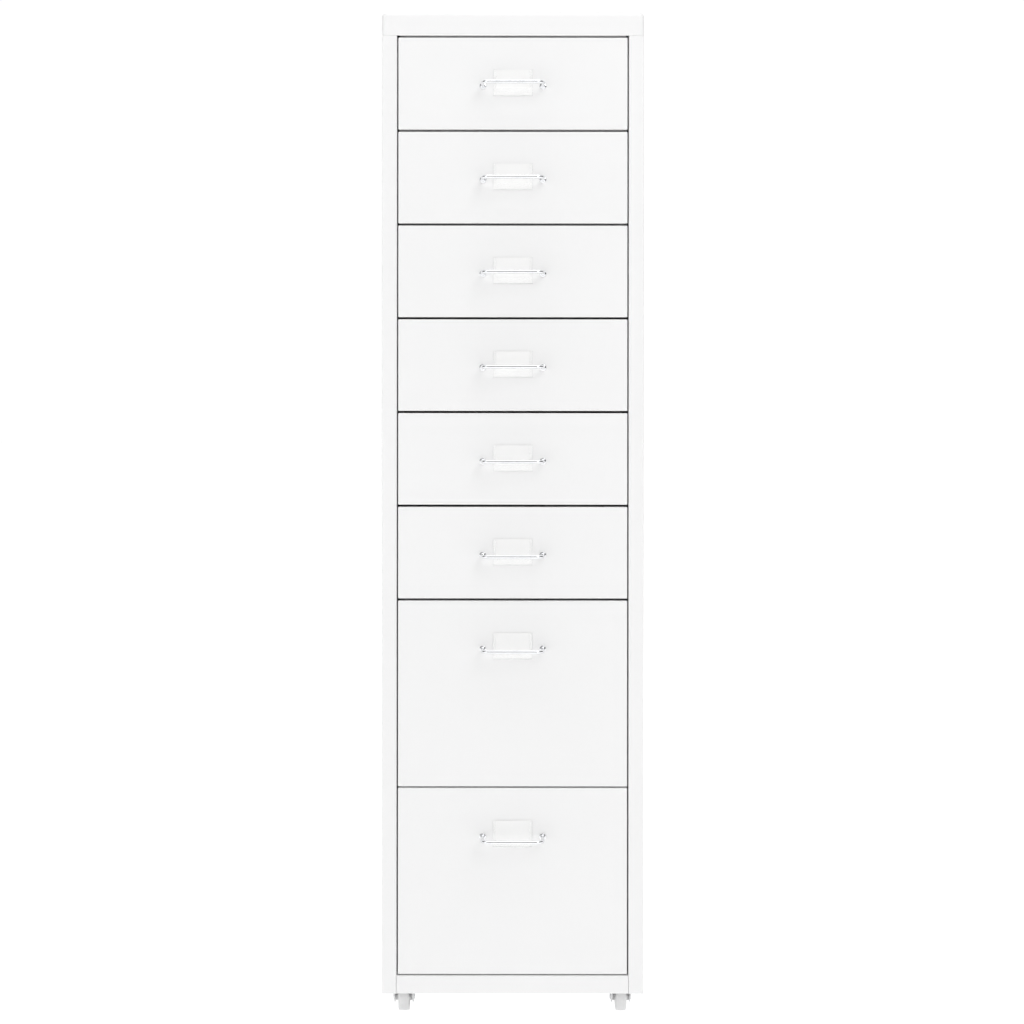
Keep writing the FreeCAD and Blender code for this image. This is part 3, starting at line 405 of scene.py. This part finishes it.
def card(n, z):
    """A blank card that stands in the gutter against the holder's plate, with a slight bow."""
    bm = bmesh.new()
    cols, rows = 12, 6
    x0, x1, z0, z1, t = -20.66, 20.66, -10.17, 17.42, 0.18

    def yy(x):
        return -0.42 - 0.04 * (1 - (x / 20.66) ** 2)

    grid = [[[bm.verts.new(((x0 + (x1 - x0) * i / cols) * MM, FRONT_Y + (yy(x0 + (x1 - x0) * i / cols) - d) * MM,
                            z + (z0 + (z1 - z0) * j / rows) * MM)) for i in range(cols + 1)] for j in range(rows + 1)] for d in (0.0, t)]
    for d in (0, 1):
        for j in range(rows):
            for i in range(cols):
                bm.faces.new((grid[d][j][i], grid[d][j][i + 1], grid[d][j + 1][i + 1], grid[d][j + 1][i]))
    rim = [(0, i) for i in range(cols)] + [(j, cols) for j in range(rows)] + [(rows, cols - i) for i in range(cols)] + [(rows - j, 0) for j in range(rows)]
    for a, b in zip(rim, rim[1:] + rim[:1]):
        bm.faces.new((grid[0][a[0]][a[1]], grid[0][b[0]][b[1]], grid[1][b[0]][b[1]], grid[1][a[0]][a[1]]))
    return piece("label_card_%d" % n, bm, CARD, "drawer_%d" % n, 40)


for n in range(1, 9):
    z = handle(n)
    label_holder(n, z)
    card(n, z)


# ------------------------------------------------------------------ caster wheels
def wheel(name):
    lo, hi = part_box("caster_%s_wheel" % name)
    c = (lo + hi) / 2
    seg = 96
    # half profile (x, radius) from the bore outwards; the tread has a slight crown
    half = [(9.0, 2.56), (9.0, 4.6), (8.7, 4.9), (4.95, 5.75), (4.9, 6.0), (4.9, 11.3), (5.0, 11.6), (5.80, 12.45),
            (6.0, 12.8), (6.0, 13.7), (5.90, 14.45), (5.55, 15.1), (5.0, 15.55), (4.3, 15.80), (3.0, 15.92), (1.6, 15.975),
            (0.22, 15.99), (0.14, 16.0)]
    prof = half + [(-x, r) for x, r in reversed(half)]
    bm = bmesh.new()
    rings = []
    for x, r in prof:
        rings.append([bm.verts.new((c.x + x * MM, c.y + r * MM * math.cos(2 * math.pi * k / seg), c.z + r * MM * math.sin(2 * math.pi * k / seg)))
                      for k in range(seg)])
    for a, b in zip(rings, rings[1:] + rings[:1]):
        for k in range(seg):
            q = (k + 1) % seg
            bm.faces.new((a[k], a[q], b[q], b[k]))
    # moulded ribs in the recess on each side
    for side in (-1, 1):
        for i in range(6):
            ang = math.radians(60 * i + 30)
            u = Vector((0, math.cos(ang), math.sin(ang)))
            v = Vector((0, -math.sin(ang), math.cos(ang)))
            pts = []
            for r, w in ((5.2, 0.75), (12.0, 0.55)):
                for d in (4.7, 5.6):
                    for s in (-1, 1):
                        ww = w if d < 5 else w * 0.8
                        pts.append(bm.verts.new(Vector(c) + Vector((side * d * MM, 0, 0)) + u * (r * MM) + v * (s * ww * MM)))
            for f in ((0, 1, 3, 2), (4, 6, 7, 5), (0, 4, 5, 1), (2, 3, 7, 6), (0, 2, 6, 4), (1, 5, 7, 3)):
                bm.faces.new([pts[i2] for i2 in f])
    ob = piece("wheel_%s" % name, bm, FINISH["wheel_grey"], "wheel_%s" % name, 35)
    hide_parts("caster_%s_wheel" % name)


for name in ("front_left", "front_right", "rear_left", "rear_right"):
    wheel(name)


# ------------------------------------------------------------------ stage, light, camera
ROOM = (0.16, 0.24, 0.80, 0.95)      # brightness of the room from the horizon up to overhead
WINGS = 0.15                         # how much of it is left at the sides, low down
FLOOR_SEEN = 0.60                    # keeps the far floor as white as the near floor
FLOOR_GLOW = 0.40                    # what the floor gives to the object
LIGHTS = {"overhead": 44.0, "key": 26.8, "fill": 20.0, "left": 15.5, "right": 15.5}


def stage_floor():
    m, nt, b = material("studio_floor")
    v = coords(nt)
    nt.links.new(ramp(nt, noise(nt, v, 2.0, 2.0, 0.5), [(0.3, (0.80, 0.80, 0.80)), (0.7, (0.82, 0.82, 0.82))]), b.inputs["Base Color"])
    b.inputs["Roughness"].default_value = 0.8
    b.inputs["Emission Color"].default_value = (1, 1, 1, 1)
    path = nt.nodes.new("ShaderNodeLightPath")
    glow = nt.nodes.new("ShaderNodeMapRange")
    glow.inputs["To Min"].default_value = FLOOR_GLOW
    glow.inputs["To Max"].default_value = FLOOR_SEEN
    nt.links.new(path.outputs["Is Camera Ray"], glow.inputs["Value"])
    nt.links.new(glow.outputs["Result"], b.inputs["Emission Strength"])
    bm = bmesh.new()
    s = 60.0
    vs = [bm.verts.new(p) for p in ((-s, -s, 0), (s, -s, 0), (s, s, 0), (-s, s, 0))]
    bm.faces.new(vs)
    me = bpy.data.meshes.new("studio_floor")
    bm.to_mesh(me)
    bm.free()
    me.materials.append(m)
    ob = bpy.data.objects.new("studio_floor", me)
    scene.collection.objects.link(ob)


stage_floor()

# the room: pale overhead, dimmer towards the horizon and dim low down on the left and right;
# the camera itself sees plain white
world = bpy.data.worlds.new("studio")
world.use_nodes = True
scene.world = world
wt = world.node_tree
wt.nodes.clear()
w_out = wt.nodes.new("ShaderNodeOutputWorld")
w_mix = wt.nodes.new("ShaderNodeMixShader")
w_lp = wt.nodes.new("ShaderNodeLightPath")
w_tc = wt.nodes.new("ShaderNodeTexCoord")
w_sep = wt.nodes.new("ShaderNodeSeparateXYZ")
wt.links.new(w_tc.outputs["Generated"], w_sep.inputs["Vector"])
w_col = ramp(wt, w_sep.outputs["Z"], [(0.0, grey(ROOM[0])), (0.55, grey(ROOM[1])), (0.80, grey(ROOM[2])), (1.0, grey(ROOM[3]))])
w_amb = wt.nodes.new("ShaderNodeBackground")
wt.links.new(w_col, w_amb.inputs["Color"])
w_abs = wt.nodes.new("ShaderNodeMath")
w_abs.operation = "ABSOLUTE"
wt.links.new(w_sep.outputs["X"], w_abs.inputs[0])
w_wing = spread(wt, w_abs.outputs[0], 0.0, 1.0, 0.35, 0.75)
w_low = spread(wt, w_sep.outputs["Z"], 1.0, 0.0, 0.25, 0.60)
w_dim = wt.nodes.new("ShaderNodeMath")
w_dim.operation = "MULTIPLY"
wt.links.new(w_wing, w_dim.inputs[0])
wt.links.new(w_low, w_dim.inputs[1])
wt.links.new(spread(wt, w_dim.outputs[0], 1.0, WINGS, 0.0, 1.0), w_amb.inputs["Strength"])
w_cam = wt.nodes.new("ShaderNodeBackground")
w_cam.inputs["Color"].default_value = (1.0, 1.0, 1.0, 1.0)
w_cam.inputs["Strength"].default_value = 1.02
wt.links.new(w_lp.outputs["Is Camera Ray"], w_mix.inputs["Fac"])
wt.links.new(w_amb.outputs["Background"], w_mix.inputs[1])
wt.links.new(w_cam.outputs["Background"], w_mix.inputs[2])
wt.links.new(w_mix.outputs["Shader"], w_out.inputs["Surface"])


def softbox(name, at, aim, size, power, sy=None, mirrored=True):
    d = bpy.data.lights.new(name, "AREA")
    d.shape = "RECTANGLE"
    d.size, d.size_y = size, sy or size
    d.energy = power
    ob = bpy.data.objects.new(name, d)
    ob.location = at
    ob.rotation_mode = "QUATERNION"
    ob.rotation_quaternion = (Vector(aim) - Vector(at)).to_track_quat("-Z", "Y")
    ob.visible_glossy = mirrored
    scene.collection.objects.link(ob)
    return ob


softbox("overhead", (0.0, -0.6, 3.6), (0, -0.2, 0), 3.4, LIGHTS["overhead"])
softbox("key", (1.4, -3.1, 2.6), (0, -0.1, 0.6), 1.6, LIGHTS["key"])
softbox("fill", (-3.0, -3.0, 1.3), (0, 0, 0.5), 2.4, LIGHTS["fill"])
softbox("side_left", (-3.2, -0.9, 1.3), (0, 0, 0.6), 2.6, LIGHTS["left"], mirrored=False)
softbox("side_right", (3.2, -0.9, 1.3), (0, 0, 0.6), 2.6, LIGHTS["right"], mirrored=False)

scene.view_settings.view_transform = "Standard"
scene.view_settings.look = "None"
scene.view_settings.exposure = 0.0
scene.view_settings.gamma = 1.0

cam = bpy.data.cameras.new("camera")
cam.sensor_fit = "HORIZONTAL"
cam.sensor_width = 36.0
cam.lens = 1782.6 / 1024.0 * 36.0
cam.shift_y = -87.6 / 1024.0
cam.shift_x = -0.75 / 1024.0
cam.clip_start, cam.clip_end = 0.05, 200.0
cam_ob = bpy.data.objects.new("camera", cam)
cam_ob.matrix_world = (Matrix.Translation((0.0, -2.077, 0.650)) @ Matrix.Rotation(math.radians(90), 4, "X")
                       @ Matrix.Rotation(math.radians(0.04), 4, "Z"))
scene.collection.objects.link(cam_ob)
scene.camera = cam_ob

bpy.context.view_layer.update()
